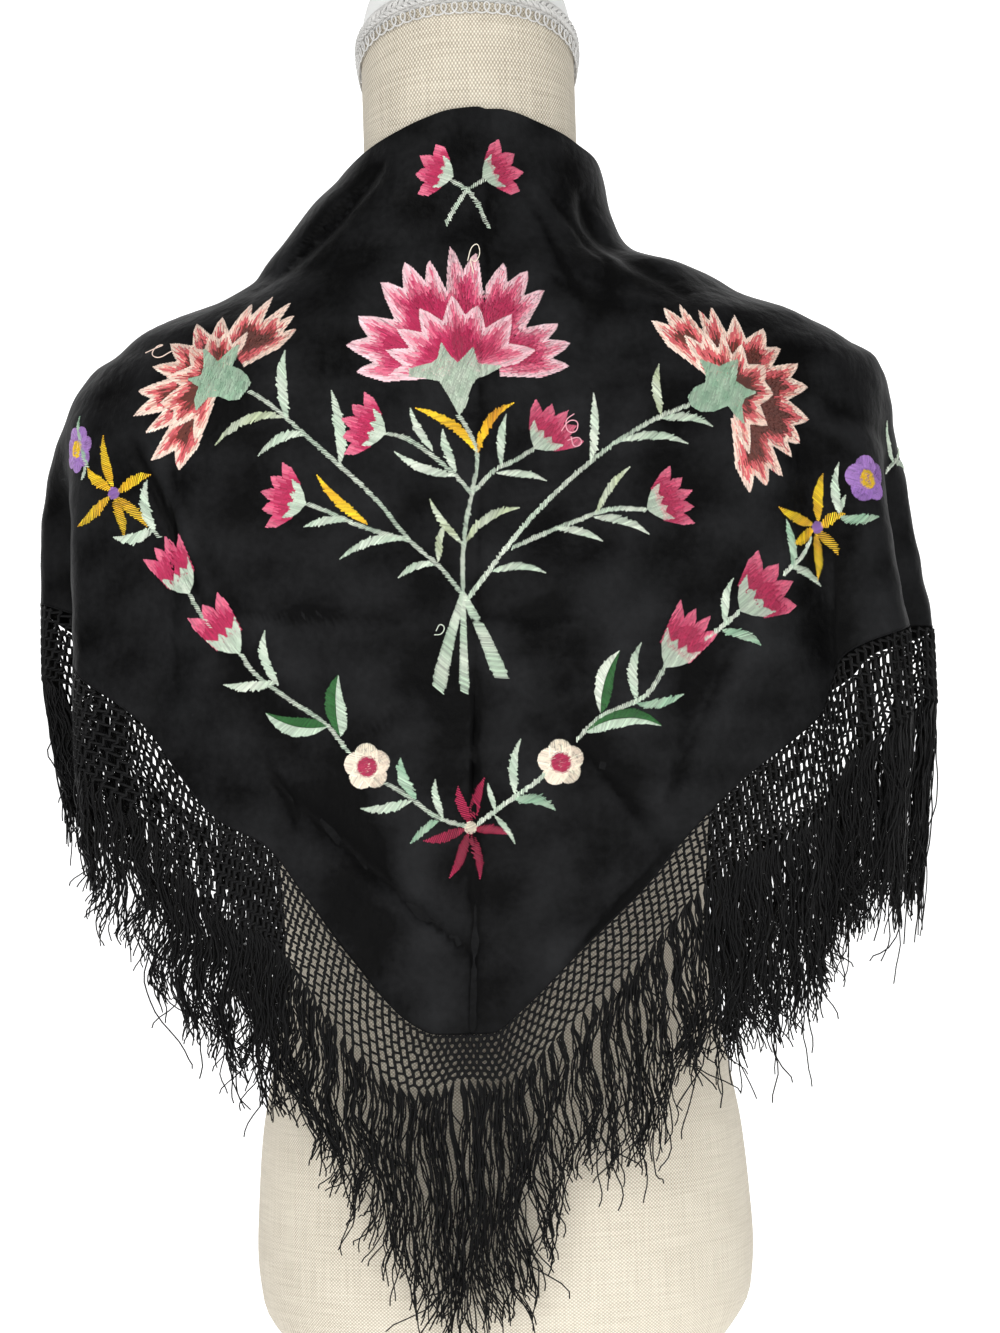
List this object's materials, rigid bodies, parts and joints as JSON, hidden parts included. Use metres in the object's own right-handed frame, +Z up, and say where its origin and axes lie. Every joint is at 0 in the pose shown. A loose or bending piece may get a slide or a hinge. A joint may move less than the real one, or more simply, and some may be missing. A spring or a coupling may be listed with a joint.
{
  "type": "piano shawl on a dress form",
  "caption": "Triangular fringed shawl of embroidered silk draped corner-down over a limbless dress form.",
  "frame": {"origin": "middle of the dress form's flat base", "axes": "+Z up; the back of the form, where the shawl's corner hangs, faces -Y; +X is on the right when looking at the back"},
  "size_m": [0.5048, 0.225, 0.8058],
  "materials": {
    "linen": "natural linen, plain weave with slubs",
    "cap_cloth": "pale grey-white smooth cloth",
    "gimp_braid": "off-white plaited gimp braid with a row of small loops",
    "black_silk": "black silk crepe with a soft sheen and coloured satin-stitch flowers",
    "net_silk": "black silk cord knotted into small hexagonal meshes",
    "fringe_silk": "fine black silk threads, wavy and a little tangled"
  },
  "bodies": {
    "root": {"form_body": "linen", "neck_cap": "cap_cloth", "neck_braid": "gimp_braid", "shawl_cloth": "black_silk", "net_back_left": "net_silk", "net_back_right": "net_silk", "net_front_left": "net_silk", "net_front_right": "net_silk", "fringe_back_left": "fringe_silk", "fringe_back_right": "fringe_silk", "fringe_front_left": "fringe_silk", "fringe_front_right": "fringe_silk"}
  },
  "joints": []
}
